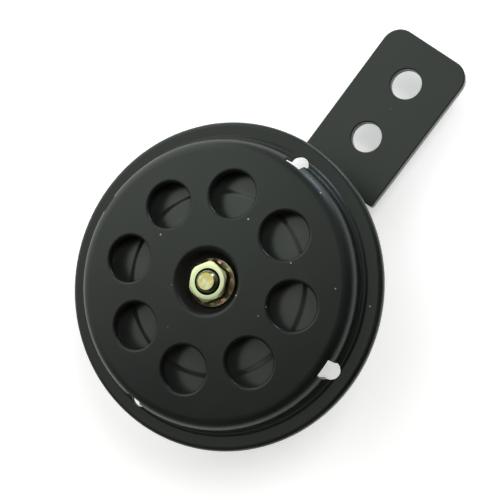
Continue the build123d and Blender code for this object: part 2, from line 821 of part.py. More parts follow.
inner_plate_width = block_width - 2 * inner_plate_margin
inner_plate_height = block_height - 2 * inner_plate_margin
with BuildPart() as inner_insulator:
    with BuildSketch(level(cup_floor_h, 0, terminal_place)):
        RectangleRounded(inner_plate_width, inner_plate_height, block_corner_r)
    extrude(amount=inner_plate_thickness)
    with BuildSketch(level(cup_floor_h)):
        with Locations(*terminal_rivets):
            Circle(rivet_d / 2 + thread_fit)
    extrude(amount=inner_plate_thickness, mode=Mode.SUBTRACT)
finish(inner_insulator, "inner_insulator")

blade_up = terminal_place - foot_overhang - blade_thickness


def terminal(x):
    """Blade terminal folded from strip: a riveted foot and a blade that points backwards."""
    with BuildPart() as piece:
        with BuildSketch(level(terminal_back_h, x, terminal_place)):
            with Locations((0, -foot_overhang - blade_thickness)):
                Rectangle(
                    foot_width, 2 * foot_overhang + blade_thickness, align=(Align.CENTER, Align.MIN)
                )
            Circle(rivet_d / 2 + thread_fit, mode=Mode.SUBTRACT)
        extrude(amount=blade_thickness)
        blade_plane = Plane(
            origin=(x, brim_y, axis_z + blade_up), x_dir=(1, 0, 0), z_dir=(0, 0, 1)
        )
        with BuildSketch(blade_plane):
            with BuildLine():
                Polyline(
                    (-blade_width / 2, -terminal_back_h),
                    (blade_width / 2, -terminal_back_h),
                    (blade_width / 2, -terminal_back_h + blade_length - blade_chamfer),
                    (blade_width / 2 - blade_chamfer, -terminal_back_h + blade_length),
                    (-blade_width / 2 + blade_chamfer, -terminal_back_h + blade_length),
                    (-blade_width / 2, -terminal_back_h + blade_length - blade_chamfer),
                    close=True,
                )
            make_face()
            with Locations((0, -terminal_back_h + blade_length - blade_hole_to_tip)):
                Circle(blade_hole_d / 2, mode=Mode.SUBTRACT)
        extrude(amount=blade_thickness)
    return piece


def terminal_rivet(x):
    """Hollow rivet through a terminal, the block, the cup and the inner plate."""
    front_h = cup_floor_h + inner_plate_thickness
    with BuildPart() as piece:
        with BuildSketch(level(terminal_back_h - rivet_head, x, terminal_place)):
            Circle(rivet_head_d / 2)
        extrude(amount=rivet_head)
        with BuildSketch(level(terminal_back_h, x, terminal_place)):
            Circle(rivet_d / 2)
        extrude(amount=front_h - terminal_back_h)
        with BuildSketch(level(front_h, x, terminal_place)):
            Circle(rivet_head_d / 2)
        extrude(amount=rivet_head)
        with BuildSketch(level(terminal_back_h - rivet_head, x, terminal_place)):
            Circle(rivet_bore_d / 2)
        extrude(amount=front_h - terminal_back_h + 2 * rivet_head, mode=Mode.SUBTRACT)
    return piece


for side, name in ((-1, "live"), (1, "earth")):
    finish(terminal(side * terminal_spacing / 2), f"{name}_terminal")
    finish(terminal_rivet(side * terminal_spacing / 2), f"{name}_terminal_rivet")

# ================================================================ bracket and its fastening
core_nut = nut(bracket_front_h, core_nut_height, m8_nut_af, core_thread_d)
finish(core_nut, "core_nut")

bracket_top = bracket_hole_to_axis + bracket_hole_spacing + bracket_end_margin
with BuildPart() as bracket:
    with BuildSketch(level(bracket_back_h)) as strip:
        with Locations((0, bracket_shoulder_up)):
            Rectangle(
                bracket_width,
                bracket_top - bracket_shoulder_up,
                align=(Align.CENTER, Align.MIN),
            )
        fillet(strip.vertices().group_by(Axis.Y)[-1], bracket_corner_r)
        fillet(strip.vertices().group_by(Axis.Y)[0], bracket_shoulder_r)
        Circle(bracket_tongue_width / 2)
        Rectangle(
            bracket_tongue_width, bracket_shoulder_up, align=(Align.CENTER, Align.MIN)
        )
        Circle(core_thread_d / 2 + slip_fit, mode=Mode.SUBTRACT)
        with Locations(
            (0, bracket_hole_to_axis), (0, bracket_hole_to_axis + bracket_hole_spacing)
        ):
            Circle(bracket_hole_d / 2, mode=Mode.SUBTRACT)
    extrude(amount=bracket_thickness)
    fillet(bracket.edges().filter_by(Axis.Y, reverse=True), bracket_edge_r)
finish(bracket, "bracket")

with BuildPart() as spring_washer:
    with BuildSketch(level(bracket_back_h - spring_washer_height)):
        Circle(spring_washer_d / 2)
        Circle(core_thread_d / 2 + slip_fit, mode=Mode.SUBTRACT)
        with Locations((spring_washer_d / 2, 0)):
            Rectangle(
                spring_washer_d,
                spring_washer_gap,
                rotation=spring_washer_turn,
                mode=Mode.SUBTRACT,
            )
    extrude(amount=spring_washer_height)
finish(spring_washer, "spring_washer")

bracket_nut = nut(bracket_nut_h, bracket_nut_height, m8_nut_af, core_thread_d)
finish(bracket_nut, "bracket_nut")
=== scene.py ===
"""Looks of a small electric disc horn: its finishes, its fine detail, the studio and the camera.

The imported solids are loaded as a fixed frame, and each sub-assembly below dresses its own nodes and
adds the threads, the varnish, the rounded nut and the soft step that the solids leave plain.
Everything is in metres in the part's own frame: the horn's axis is level and its front faces -Y.
Depths along the horn are heights h, measured forwards from the front face of the disc's brim, as
in the part's source.
"""

from __future__ import annotations

import json
import logging
import math
from collections.abc import Iterable, Sequence
from dataclasses import dataclass, field
from enum import Enum

import bpy
import numpy as np
from mathutils import Euler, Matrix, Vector

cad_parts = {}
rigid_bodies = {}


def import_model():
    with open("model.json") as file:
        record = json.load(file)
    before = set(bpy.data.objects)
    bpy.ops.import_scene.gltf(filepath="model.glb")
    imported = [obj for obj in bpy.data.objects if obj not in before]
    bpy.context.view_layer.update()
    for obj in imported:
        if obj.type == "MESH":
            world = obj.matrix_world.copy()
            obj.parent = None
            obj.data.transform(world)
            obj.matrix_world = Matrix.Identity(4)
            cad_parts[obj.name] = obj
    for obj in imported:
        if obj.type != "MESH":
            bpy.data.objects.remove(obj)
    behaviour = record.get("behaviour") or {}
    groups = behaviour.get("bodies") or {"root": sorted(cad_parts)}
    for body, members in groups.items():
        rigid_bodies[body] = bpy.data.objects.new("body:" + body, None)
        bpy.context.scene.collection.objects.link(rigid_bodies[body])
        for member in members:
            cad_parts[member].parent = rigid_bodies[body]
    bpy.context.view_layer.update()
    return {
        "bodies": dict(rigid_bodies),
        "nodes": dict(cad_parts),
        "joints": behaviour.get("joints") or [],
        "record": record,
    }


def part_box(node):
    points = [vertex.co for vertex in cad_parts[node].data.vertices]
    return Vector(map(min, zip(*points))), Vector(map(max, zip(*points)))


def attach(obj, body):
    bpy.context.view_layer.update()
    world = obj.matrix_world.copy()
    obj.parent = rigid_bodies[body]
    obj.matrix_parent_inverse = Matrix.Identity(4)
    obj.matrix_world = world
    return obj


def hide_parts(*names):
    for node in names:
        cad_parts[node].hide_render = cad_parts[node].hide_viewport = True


LOG = logging.getLogger("disc_horn")

MM = 0.001
AXIS_Z = -66.1 * MM  # height of the horn's axis in the part's frame
BRIM_Y = -30.7 * MM  # front face of the disc's brim
HORN_CENTRE = Vector((0.0, BRIM_Y, AXIS_Z))

Colour = tuple[float, float, float]
Socket = bpy.types.NodeSocket


class Body(Enum):
    """The horn's two bodies: what stays still on the bracket, and what the stroke moves."""

    STILL = "horn_body"
    MOVING = "vibrating_group"


# ------------------------------------------------------------------------------ node graphs
class Graph:
    """Node tree of one material, whose patterns are laid out in millimetres on the object."""

    def __init__(self, name: str) -> None:
        """Start a material with a Principled shader.

        Args:
            name: the material's name.
        """
        self.material = bpy.data.materials.new(name)
        self.material.use_nodes = True
        self.tree = self.material.node_tree
        self.tree.nodes.clear()
        output = self.tree.nodes.new("ShaderNodeOutputMaterial")
        self.shader = self.tree.nodes.new("ShaderNodeBsdfPrincipled")
        self.tree.links.new(self.shader.outputs[0], output.inputs["Surface"])
        coordinates = self.tree.nodes.new("ShaderNodeTexCoord")
        self.place = self.vector("MULTIPLY", coordinates.outputs["Object"], (1 / MM,) * 3)

    def node(self, kind: str, **settings: object) -> bpy.types.Node:
        """Add a node of a kind and set its properties.

        Args:
            kind: the node's type name.
            settings: properties to set on it.

        Returns:
            The new node.
        """
        made = self.tree.nodes.new(kind)
        for key, value in settings.items():
            setattr(made, key, value)
        return made

    def feed(self, target: Socket, value: Socket | float | Sequence[float]) -> None:
        """Link a socket, or set a plain value, on an input.

        Args:
            target: the input.
            value: what goes into it.
        """
        if isinstance(value, bpy.types.NodeSocket):
            self.tree.links.new(value, target)
        elif target.type == "RGBA" and len(value) == 3:
            target.default_value = (*value, 1.0)
        else:
            target.default_value = value

    def math(self, operation: str, *values: Socket | float) -> Socket:
        """Result of a Math node on one to three values."""
        made = self.node("ShaderNodeMath", operation=operation)
        for target, value in zip(made.inputs, values):
            self.feed(target, value)
        return made.outputs[0]

    def vector(self, operation: str, *values: Socket | Sequence[float]) -> Socket:
        """Result of a Vector Math node on one or two vectors."""
        made = self.node("ShaderNodeVectorMath", operation=operation)
        for target, value in zip(made.inputs, values):
            self.feed(target, value)
        return made.outputs["Value" if operation in ("LENGTH", "DISTANCE") else "Vector"]

    def noise(
        self, size: float, detail: float = 2.0, roughness: float = 0.5, place: Socket | None = None
    ) -> Socket:
        """Fractal noise from 0 to 1.

        Args:
            size: size of its largest features, in millimetres.
            detail: octaves of finer noise.
            roughness: how strong the finer octaves are.
            place: coordinates in millimetres; the object's own by default.

        Returns:
            The noise value.
        """
        made = self.node("ShaderNodeTexNoise")
        self.feed(made.inputs["Vector"], place or self.place)
        self.feed(made.inputs["Scale"], 1.0 / size)
        self.feed(made.inputs["Detail"], detail)
        self.feed(made.inputs["Roughness"], roughness)
        return made.outputs["Fac"]

    def cells(self, size: float) -> Socket:
        """Distance from the nearest of many scattered points.

        Args:
            size: mean spacing of the points, in millimetres.

        Returns:
            The distance, where 1 is the mean spacing.
        """
        made = self.node("ShaderNodeTexVoronoi", feature="F1")
        self.feed(made.inputs["Vector"], self.place)
        self.feed(made.inputs["Scale"], 1.0 / size)
        return made.outputs["Distance"]

    def window(self, value: Socket, low: float, high: float) -> Socket:
        """Smooth step from 0 at low to 1 at high; it falls where low is the larger."""
        made = self.node("ShaderNodeMapRange", interpolation_type="SMOOTHSTEP")
        rising = low < high
        self.feed(made.inputs["Value"], value)
        self.feed(made.inputs["From Min"], low if rising else high)
        self.feed(made.inputs["From Max"], high if rising else low)
        self.feed(made.inputs["To Min"], 0.0 if rising else 1.0)
        self.feed(made.inputs["To Max"], 1.0 if rising else 0.0)
        return made.outputs["Result"]

    def span(self, value: Socket, low: float, high: float) -> Socket:
        """Straight map of 0 to 1 on to low to high."""
        made = self.node("ShaderNodeMapRange", clamp=False)
        self.feed(made.inputs["Value"], value)
        self.feed(made.inputs["To Min"], low)
        self.feed(made.inputs["To Max"], high)
        return made.outputs["Result"]

    def blend(
        self, factor: Socket | float, first: Socket | Colour, second: Socket | Colour
    ) -> Socket:
        """Colour that runs from the first to the second as the factor goes from 0 to 1."""
        made = self.node("ShaderNodeMix", data_type="RGBA")
        colours = [s for s in made.inputs if s.type == "RGBA"]
        self.feed(made.inputs["Factor"], factor)
        self.feed(colours[0], first)
        self.feed(colours[1], second)
        return next(s for s in made.outputs if s.type == "RGBA")

    def ramp(self, value: Socket, stops: Sequence[tuple[float, Colour]]) -> Socket:
        """Colour ramp.

        Args:
            value: where on the ramp, from 0 to 1.
            stops: positions with their colours, in order.

        Returns:
            The colour.
        """
        made = self.node("ShaderNodeValToRGB")
        made.color_ramp.interpolation = "EASE"
        points = made.color_ramp.elements
        while len(points) < len(stops):
            points.new(1.0)
        for point, (position, colour) in zip(points, stops):
            point.position = position
            point.color = (*colour, 1.0)
        self.feed(made.inputs["Fac"], value)
        return made.outputs["Color"]

    def bump(self, height: Socket, depth: float, below: Socket | None = None) -> Socket:
        """Normal of a fine relief.

        Args:
            height: the relief, from 0 to 1.
            depth: its full depth in millimetres.
            below: normal of a coarser relief under it.

        Returns:
            The normal.
        """
        made = self.node("ShaderNodeBump")
        self.feed(made.inputs["Height"], height)
        self.feed(made.inputs["Distance"], depth * MM)
        self.feed(made.inputs["Strength"], 1.0)
        if below is not None:
            self.feed(made.inputs["Normal"], below)
        return made.outputs["Normal"]

    def from_axis(self, x: float = 0.0, z: float = AXIS_Z / MM) -> Socket:
        """Distance in millimetres from a line along Y through (x, z)."""
        flat = self.vector("MULTIPLY", self.place, (1.0, 0.0, 1.0))
        return self.vector("LENGTH", self.vector("SUBTRACT", flat, (x, 0.0, z)))

    def depth(self) -> Socket:
        """Height h in millimetres forwards of the brim's front face."""
        parts = self.node("ShaderNodeSeparateXYZ")
        self.feed(parts.inputs[0], self.place)
        return self.math("SUBTRACT", BRIM_Y / MM, parts.outputs["Y"])

    def near(self, spots: Iterable[tuple[float, float, float]]) -> Socket:
        """Mask of small round spots on a face that looks along Y.

        Args:
            spots: (x, z, radius) of each, in millimetres.

        Returns:
            1 inside a spot, falling softly to 0 outside.
        """
        total: Socket | float = 0.0
        for x, z, radius in spots:
            distance = self.from_axis(x, z)
            total = self.math("MAXIMUM", total, self.window(distance, radius, radius * 0.5))
        return total

    def finish(
        self,
        colour: Socket | Colour,
        roughness: Socket | float,
        metallic: float = 0.0,
        normal: Socket | None = None,
        **sockets: float | Colour,
    ) -> bpy.types.Material:
        """Feed the shader and hand the material over.

        Args:
            colour: base colour.
            roughness: roughness.
            metallic: 1 for a metal.
            normal: normal of the relief.
            sockets: further plain values, by the shader's input names with _ for a space.

        Returns:
            The finished material.
        """
        self.feed(self.shader.inputs["Base Color"], colour)
        self.feed(self.shader.inputs["Roughness"], roughness)
        self.shader.inputs["Metallic"].default_value = metallic
        if normal is not None:
            self.feed(self.shader.inputs["Normal"], normal)
        for key, value in sockets.items():
            self.feed(self.shader.inputs[key.replace("_", " ")], value)
        return self.material


# ------------------------------------------------------------------------------ finishes
COOL_TINT = (0.89, 1.0, 0.90)  # faint green of the black finishes' sheen


@dataclass(frozen=True)
class SatinPaint:
    """Black stoving paint with a faint orange peel, dust in it and a few specks on it."""

    name: str
    deep: Colour = (0.0044, 0.0052, 0.0046)
    pale: Colour = (0.0070, 0.0082, 0.0073)
    sheen: float = 0.36
    peel: float = 0.010
    well_r: float = 0.0  # matt, thinly covered well inside this radius
    specks: tuple[tuple[float, float, float], ...] = ()

    def material(self) -> bpy.types.Material:
        """The paint as a material."""
        g = Graph(self.name)
        cloud = g.noise(14.0, 3.0)
        grain = g.noise(0.5, 3.0, 0.65)
        colour = g.blend(g.window(cloud, 0.3, 0.7), self.deep, self.pale)
        dust = g.window(g.noise(1.1, 4.0, 0.7), 0.66, 0.80)
        colour = g.blend(g.math("MULTIPLY", dust, 0.18), colour, (0.13, 0.13, 0.12))
        pinholes = g.window(g.cells(3.2), 0.05, 0.03)
        scarce = g.window(g.noise(5.0, 1.0), 0.66, 0.70)
        fleck = g.math("MULTIPLY", pinholes, scarce)
        if self.specks:
            fleck = g.math("MAXIMUM", fleck, g.near(self.specks))
        colour = g.blend(fleck, colour, (0.42, 0.42, 0.39))
        rough = g.span(cloud, self.sheen - 0.05, self.sheen + 0.06)
        rough = g.math("ADD", rough, g.span(grain, -0.05, 0.05))
        if self.well_r:
            matt = g.window(g.from_axis(), self.well_r + 0.3, self.well_r - 0.5)
            colour = g.blend(g.math("MULTIPLY", matt, 0.6), colour, (0.026, 0.027, 0.023))
            rough = g.math("ADD", rough, g.math("MULTIPLY", matt, 0.44))
            g.feed(g.shader.inputs["Specular IOR Level"], g.span(matt, 0.5, 0.12))
        peel = g.bump(g.noise(0.75, 2.0, 0.45), self.peel)
        normal = g.bump(grain, self.peel * 0.25, peel)
        return g.finish(colour, rough, 0.0, normal, Specular_Tint=COOL_TINT)


@dataclass(frozen=True)
class YellowPassivate:
    """Yellow chromate over zinc: gold with olive, brown and rose clouds, paler on its end face."""

    name: str = "yellow_passivate"
    end_height: float = 0.0  # height of the end face, in millimetres
    end_colour: Colour = (0.70, 0.84, 0.44)
    painted_shade_mouth_r: float = 0.0  # painted shade: the countersink and thread mouth are darkened inside this radius, in millimetres
    painted_shade_thread_r: float = 0.0  # painted shade: the thread and chamfer are darkened outside this radius, in millimetres
    stops: tuple[tuple[float, Colour], ...] = (
        (0.30, (0.56, 0.60, 0.28)),
        (0.43, (0.80, 0.74, 0.38)),
        (0.52, (0.74, 0.64, 0.38)),
        (0.59, (0.62, 0.42, 0.26)),
        (0.66, (0.52, 0.34, 0.30)),
        (0.76, (0.30, 0.36, 0.22)),
    )

    def material(self) -> bpy.types.Material:
        """The plating as a material."""
        g = Graph(self.name)
        cloud = g.noise(2.8, 3.0, 0.55)
        colour = g.ramp(cloud, self.stops)
        grain = g.noise(0.22, 3.0, 0.6)
        worn = g.window(g.noise(0.9, 4.0, 0.7), 0.60, 0.74)
        colour = g.blend(g.math("MULTIPLY", worn, 0.35), colour, (0.74, 0.76, 0.60))
        if self.end_height:
            end = g.window(g.depth(), self.end_height - 0.75, self.end_height - 0.25)
            tone = g.blend(g.window(cloud, 0.40, 0.62), self.end_colour, (0.76, 0.80, 0.50))
            colour = g.blend(end, colour, tone)
        # painted shade: the countersink and thread mouth turn dark where they lie in shade
        if self.painted_shade_mouth_r:
            mouth = g.window(g.from_axis(), self.painted_shade_mouth_r, self.painted_shade_mouth_r - 0.08)
            colour = g.blend(mouth, colour, (0.10, 0.105, 0.07))
        # painted shade: the thread and chamfer are darker than the end face
        if self.painted_shade_thread_r:
            thread = g.window(g.from_axis(), self.painted_shade_thread_r, self.painted_shade_thread_r + 0.12)
            colour = g.blend(thread, colour, (0.30, 0.30, 0.20))
        rough = g.math("ADD", g.span(grain, 0.20, 0.34), g.span(worn, 0.0, 0.08))
        turning = g.math("SINE", g.math("MULTIPLY", g.from_axis(), 2 * math.pi / 0.22))
        normal = g.bump(turning, 0.0012, g.bump(g.noise(1.3, 2.0), 0.02))
        return g.finish(colour, rough, 1.0, g.bump(grain, 0.003, normal))


@dataclass(frozen=True)
class Metal:
    """Bare or plated metal with a fine grain, tool marks and faint stains."""

    name: str
    colour: Colour
    stain: Colour
    rough: tuple[float, float] = (0.28, 0.42)
    marks: float = 0.0
    marks_about: tuple[float, float] = (0.0, AXIS_Z / MM)
    brushed: Colour = (1.0, 1.0, 1.0)

    def material(self) -> bpy.types.Material:
        """The metal as a material."""
        g = Graph(self.name)
        cloud = g.noise(5.0, 4.0, 0.6)
        colour = g.blend(g.window(cloud, 0.42, 0.72), self.colour, self.stain)
        stretched = g.vector("MULTIPLY", g.place, self.brushed)
        grain = g.noise(0.3, 3.0, 0.6, stretched)
        rough = g.math("ADD", g.span(grain, *self.rough), g.span(cloud, -0.05, 0.05))
        normal = g.bump(grain, 0.004)
        if self.marks:
            ridge = g.math("MULTIPLY", g.from_axis(*self.marks_about), 2 * math.pi / self.marks)
            normal = g.bump(g.math("SINE", ridge), 0.0015, normal)
        return g.finish(colour, rough, 1.0, normal)


@dataclass(frozen=True)
class DarkSteel:
    """Blackened, oiled sheet steel: dark, faintly green, with rolling lines."""

    name: str = "blackened_steel"
    colour: Colour = (0.0200, 0.0225, 0.0200)
    worn: Colour = (0.028, 0.028, 0.026)
    sheen: float = 0.20

    def material(self) -> bpy.types.Material:
        """The sheet as a material."""
        g = Graph(self.name)
        cloud = g.noise(7.0, 4.0, 0.6)
        lines = g.noise(0.5, 3.0, 0.6, g.vector("MULTIPLY", g.place, (0.15, 1.0, 1.6)))
        colour = g.blend(g.window(cloud, 0.45, 0.8), self.colour, self.worn)
        rough = g.span(lines, self.sheen, self.sheen + 0.10)
        normal = g.bump(lines, 0.002)
        return g.finish(
            colour, rough, 0.0, normal, Specular_Tint=COOL_TINT, Specular_IOR_Level=0.62
        )


@dataclass(frozen=True)
class EnamelledWire:
    """Enamelled copper wire laid in even turns round the horn's axis."""

    name: str = "enamelled_wire"
    pitch: float = 0.36
    copper: Colour = (0.58, 0.20, 0.07)
    # painted shade in the grooves between the turns
    shade: Colour = (0.26, 0.07, 0.025)

    def material(self) -> bpy.types.Material:
        """The winding as a material."""
        g = Graph(self.name)
        turns = g.math("MULTIPLY", g.depth(), 2 * math.pi / self.pitch)
        ridge = g.span(g.math("SINE", turns), 0.5, 1.0)
        wander = g.noise(2.0, 2.0)
        # painted shade: darker between the turns, varied by random noise
        colour = g.blend(g.math("MULTIPLY", ridge, wander), self.shade, self.copper)
        return g.finish(colour, g.span(wander, 0.22, 0.36), 0.6, g.bump(ridge, 0.12))


@dataclass(frozen=True)
class Moulding:
    """Moulded or pressed insulating material, plain or layered."""

    name: str
    colour: Colour
    fleck: Colour
    rough: float = 0.5
    layer: float = 0.0

    def material(self) -> bpy.types.Material:
        """The insulator as a material."""
        g = Graph(self.name)
        cloud = g.noise(2.5, 4.0, 0.65)
        colour = g.blend(g.window(cloud, 0.35, 0.75), self.colour, self.fleck)
        if self.layer:
            bands = g.math("SINE", g.math("MULTIPLY", g.depth(), 2 * math.pi / self.layer))
            colour = g.blend(g.window(bands, 0.2, 0.9), colour, self.fleck)
        grain = g.noise(0.25, 3.0, 0.6)
        rough = g.span(grain, self.rough - 0.07, self.rough + 0.08)
        return g.finish(colour, rough, 0.0, g.bump(grain, 0.006))


@dataclass(frozen=True)
class Varnish:
    """Thick coloured varnish that locks a screw."""

    name: str = "locking_varnish"
    colour: Colour = (0.42, 0.025, 0.018)
    thin: Colour = (0.60, 0.09, 0.05)

    def material(self) -> bpy.types.Material:
        """The varnish as a material."""
        g = Graph(self.name)
        cloud = g.noise(1.4, 3.0, 0.6)
        colour = g.blend(g.window(cloud, 0.4, 0.7), self.colour, self.thin)
        return g.finish(colour, g.span(cloud, 0.16, 0.3), 0.0, g.bump(cloud, 0.05))


# ------------------------------------------------------------------------------ numpy surfaces
def new_piece(name: str, vertices: list, faces: list) -> bpy.types.Object:
    """Object with a mesh of its own, in the scene.

    Args:
        name: name of the object and of its mesh.
        vertices: places in metres.
        faces: vertex numbers of each face.

    Returns:
        The new object.
    """
    mesh = bpy.data.meshes.new(name)
    mesh.from_pydata(vertices, [], faces)
    mesh.validate()
    made = bpy.data.objects.new(name, mesh)
    bpy.context.scene.collection.objects.link(made)
    return made


def grid_mesh(
    name: str, points: np.ndarray, closed_across: bool, start: np.ndarray, end: np.ndarray
) -> bpy.types.Object:
    """Mesh of a grid of points, closed round and capped by a pole at each end.

    Row i, column j is joined to row i + 1 and column j + 1; the last column is joined to the first,
    and the first and last rows run into one point each, so the surface is shut.

    Args:
        name: the object's name.
        points: array (rows, columns, 3) in metres.
        closed_across: True where the columns run counter-clockwise seen from the first row's end.
        start: the pole before the first row.
        end: the pole after the last row.

    Returns:
        The new object, with its place in its mesh.
    """
    rows, columns = points.shape[:2]
    vertices = np.vstack([points.reshape(-1, 3), start[None], end[None]])
    first, last = rows * columns, rows * columns + 1
    row, column = np.meshgrid(np.arange(rows - 1), np.arange(columns), indexing="ij")
    here = (row * columns + column).ravel()
    right = (row * columns + (column + 1) % columns).ravel()
    quads = np.stack([here, here + columns, right + columns, right], axis=1)
    ring = np.arange(columns)
    following = (ring + 1) % columns
    base = (rows - 1) * columns
    start_fan = np.stack([np.full(columns, first), ring, following], axis=1)
    end_fan = np.stack([base + ring, np.full(columns, last), base + following], axis=1)
    if closed_across:
        quads, start_fan, end_fan = quads[:, ::-1], start_fan[:, ::-1], end_fan[:, ::-1]
    faces = quads.tolist() + start_fan.tolist() + end_fan.tolist()
    return new_piece(name, vertices.tolist(), faces)


def face_up(made: bpy.types.Object, sharp: float) -> bpy.types.Object:
    """Point the faces outwards and shade them smooth up to a sharp angle.

    Args:
        made: the object.
        sharp: angle in degrees past which an edge stays sharp.

    Returns:
        The same object.
    """
    bpy.context.view_layer.objects.active = made
    made.select_set(True)
    bpy.ops.object.mode_set(mode="EDIT")
    bpy.ops.mesh.select_all(action="SELECT")
    bpy.ops.mesh.normals_make_consistent(inside=False)
    bpy.ops.object.mode_set(mode="OBJECT")
    bpy.ops.object.shade_smooth_by_angle(angle=math.radians(sharp))
    made.select_set(False)
    return made


def ring_mesh(name: str, points: np.ndarray) -> bpy.types.Object:
    """Mesh of a grid of points that is closed both along its rows and its columns.

    Args:
        name: the object's name.
        points: array (rows, columns, 3) in metres.

    Returns:
        The new object, with its place in its mesh.
    """
    rows, columns = points.shape[:2]
    row, column = np.meshgrid(np.arange(rows), np.arange(columns), indexing="ij")
    after, beside = (row + 1) % rows, (column + 1) % columns
    quads = np.stack(
        [
            (row * columns + column).ravel(),
            (after * columns + column).ravel(),
            (after * columns + beside).ravel(),
            (row * columns + beside).ravel(),
        ],
        axis=1,
    )
    return new_piece(name, points.reshape(-1, 3).tolist(), quads.tolist())


def about_axis(heights: np.ndarray, radii: np.ndarray, angles: np.ndarray) -> np.ndarray:
    """Points round the horn's axis.

    A point lies at (r cos u, brim - h, axis + r sin u).

    Args:
        heights: h in millimetres.
        radii: r in millimetres.
        angles: u in radians.

    Returns:
        Array with a last side of 3, in metres.
    """
    return np.stack(
        [
            radii * np.cos(angles) * MM,
            BRIM_Y - heights * MM,
            AXIS_Z + radii * np.sin(angles) * MM,
        ],
        axis=-1,
    )


@dataclass(frozen=True)
class Thread:
    """Rolled outside thread on a round shank that lies along the horn's axis."""

    diameter: float
    pitch: float
    depth_share: float = 0.61
    runout: float = 0.8

    def radius(
        self, height: np.ndarray, angle: np.ndarray, start: float, end: float
    ) -> np.ndarray:
        """Radius of the thread at each height and angle.

        The radius is the crest's less the thread's depth times a rounded tooth wave: the
        wave is the absolute value of the cosine of pi times the turn number, height over pitch
        less angle over a full turn, raised to 1.3.  The tooth fades in over the run-out at the
        start, and at the end it goes on to the tip.

        Args:
            height: heights in millimetres.
            angle: angles in radians.
            start: height where the thread starts.
            end: height of the tip.

        Returns:
            Radii in millimetres.
        """
        turn = height / self.pitch - angle / (2 * math.pi)
        tooth = np.abs(np.cos(math.pi * turn)) ** 1.3
        sign = 1.0 if end > start else -1.0
        fade = np.clip((height - start) * sign / self.runout, 0.0, 1.0)
        return self.diameter / 2 - self.depth_share * self.pitch * tooth * fade


def shank(
    name: str,
    profile: Sequence[tuple[float, float]],
    thread: Thread,
    threaded: tuple[float, float],
    chamfer: float,
    columns: int = 96,
    row_step: float = 0.09,
) -> bpy.types.Object:
    """Turned piece on the horn's axis with a thread cut on its last run.

    The point at row v and column u lies at (r cos u, brim - h, axis + r sin u).  Along the rows r
    and h follow the profile, and from the start of the thread r is the thread's radius, held
    under the cone of the tip's chamfer.

    Args:
        name: the object's name.
        profile: (h, r) corners in millimetres up to the start of the thread.
        thread: the thread.
        threaded: height where it starts and height of the tip.
        chamfer: chamfer at the tip, in millimetres.
        columns: steps round the piece.
        row_step: step along the thread, in millimetres.

    Returns:
        The new object.
    """
    start, tip = threaded
    sign = 1.0 if tip > start else -1.0
    run = np.arange(0.0, abs(tip - start), row_step)
    run = np.append(run, abs(tip - start))
    angle = np.linspace(0.0, 2 * math.pi, columns, endpoint=False)
    along, round_ = np.meshgrid(start + sign * run, angle, indexing="ij")
    radius = thread.radius(along, round_, start, tip)
    cone = thread.diameter / 2 - chamfer + np.abs(tip - along)
    radius = np.minimum(radius, cone)
    plain = np.array(profile, float)
    heights = np.concatenate([np.repeat(plain[:, :1], columns, 1), along])
    radii = np.concatenate([np.repeat(plain[:, 1:], columns, 1), radius])
    turned = np.concatenate([np.tile(angle, (len(plain), 1)), round_])
    points = about_axis(heights, radii, turned)
    first = np.array([0.0, BRIM_Y - plain[0, 0] * MM, AXIS_Z])
    last = np.array([0.0, BRIM_Y - tip * MM, AXIS_Z])
    return face_up(grid_mesh(name, points, False, first, last), 38.0)


def dab(
    name: str, centre: Vector, across: float, proud: float, seed: int, columns: int = 64
) -> bpy.types.Object:
    """Flattened drop of varnish on a face that looks backwards along +Y.

    With u round and v from the rim to the top, the radius is cos v times the outline, which is 1
    plus three sine lobes of u with fixed phases; the height over the face is proud times the
    square root of sin v.

    Args:
        name: the object's name.
        centre: where it sits, in metres.
        across: mean diameter in millimetres.
        proud: height over the face in millimetres.
        seed: seed of the lobes' phases.
        columns: steps round the drop.

    Returns:
        The new object.
    """
    phases = np.random.default_rng(seed).uniform(0.0, 2 * math.pi, 3)
    around = np.linspace(0.0, 2 * math.pi, columns, endpoint=False)
    lift = np.linspace(0.0, math.pi / 2, 14)[:-1]
    v, u = np.meshgrid(lift, around, indexing="ij")
    outline = 1.0 + 0.10 * np.sin(2 * u + phases[0]) + 0.07 * np.sin(3 * u + phases[1])
    outline += 0.03 * np.sin(7 * u + phases[2])
    radius = across / 2 * np.cos(v) * outline * MM
    height = proud * np.sqrt(np.sin(v)) * MM
    points = np.stack(
        [centre.x + radius * np.cos(u), centre.y + height, centre.z + radius * np.sin(u)], axis=-1
    )
    first = np.array(centre) - np.array([0.0, 0.05 * MM, 0.0])
    last = np.array(centre) + np.array([0.0, proud * MM, 0.0])
    return face_up(grid_mesh(name, points, True, first, last), 60.0)


